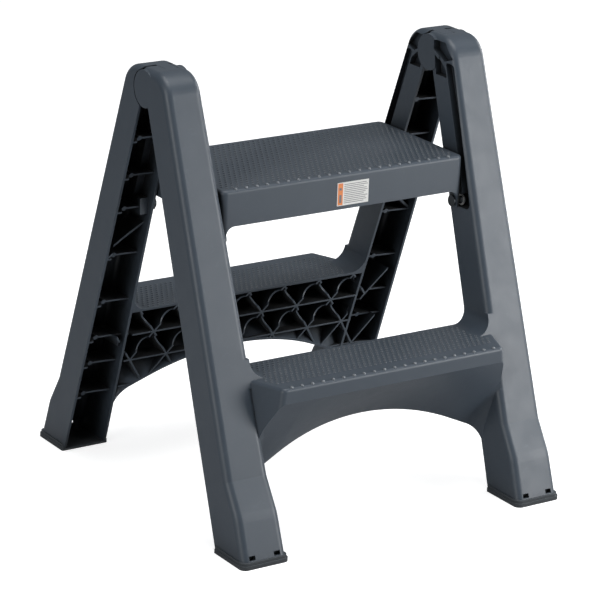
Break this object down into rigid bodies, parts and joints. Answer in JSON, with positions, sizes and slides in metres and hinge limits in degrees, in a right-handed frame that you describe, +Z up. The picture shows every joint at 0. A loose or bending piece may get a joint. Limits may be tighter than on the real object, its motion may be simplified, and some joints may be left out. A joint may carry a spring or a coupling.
{
  "type": "folding step stool",
  "caption": "Folding plastic A-frame step stool: two hinged frames with arched lower steps, side stiles and a platform between them that tips up as the frames close.",
  "frame": {"origin": "centre of the footprint at floor level", "axes": "+Z up, +X across the width of the steps, +Y from the front frame towards the rear frame"},
  "size_m": [0.5212, 0.5582, 0.6105],
  "materials": {
    "frame_plastic": "fine satin texture, charcoal grey",
    "platform_plastic": "fine satin texture, charcoal grey, ribbed tread",
    "pin_plastic": "smooth, black",
    "pin_steel": "turned, bright",
    "foot_rubber": "matt, charcoal grey",
    "label_film": "printed film with plain bars"
  },
  "bodies": {
    "front": {"front_frame": "frame_plastic", "front_foot_right": "foot_rubber", "front_foot_left": "foot_rubber", "hinge_pin_right": "pin_plastic", "hinge_pin_left": "pin_plastic"},
    "rear": {"rear_frame": "frame_plastic", "rear_foot_right": "foot_rubber", "rear_foot_left": "foot_rubber"},
    "platform": {"top_platform": "platform_plastic", "pivot_pin_right": "pin_steel", "pivot_pin_left": "pin_steel", "guide_pin_right": "pin_steel", "guide_pin_left": "pin_steel", "pin_washer_right": "pin_steel", "pin_washer_left": "pin_steel", "front_label": "label_film"}
  },
  "joints": [
    {"name": "frame_fold", "type": "hinge", "parent": "front", "child": "rear", "pos_m": [0, 0, 0.583], "axis": [-1, 0, 0], "range_deg": [0, 38]},
    {"name": "platform_tilt", "type": "hinge", "parent": "front", "child": "platform", "pos_m": [0, -0.091, 0.393], "axis": [1, 0, 0], "range_deg": [0, 47.5]}
  ],
  "couplings": [
    {"joint": "platform_tilt", "follows": "frame_fold", "ratio": 1.25}
  ]
}
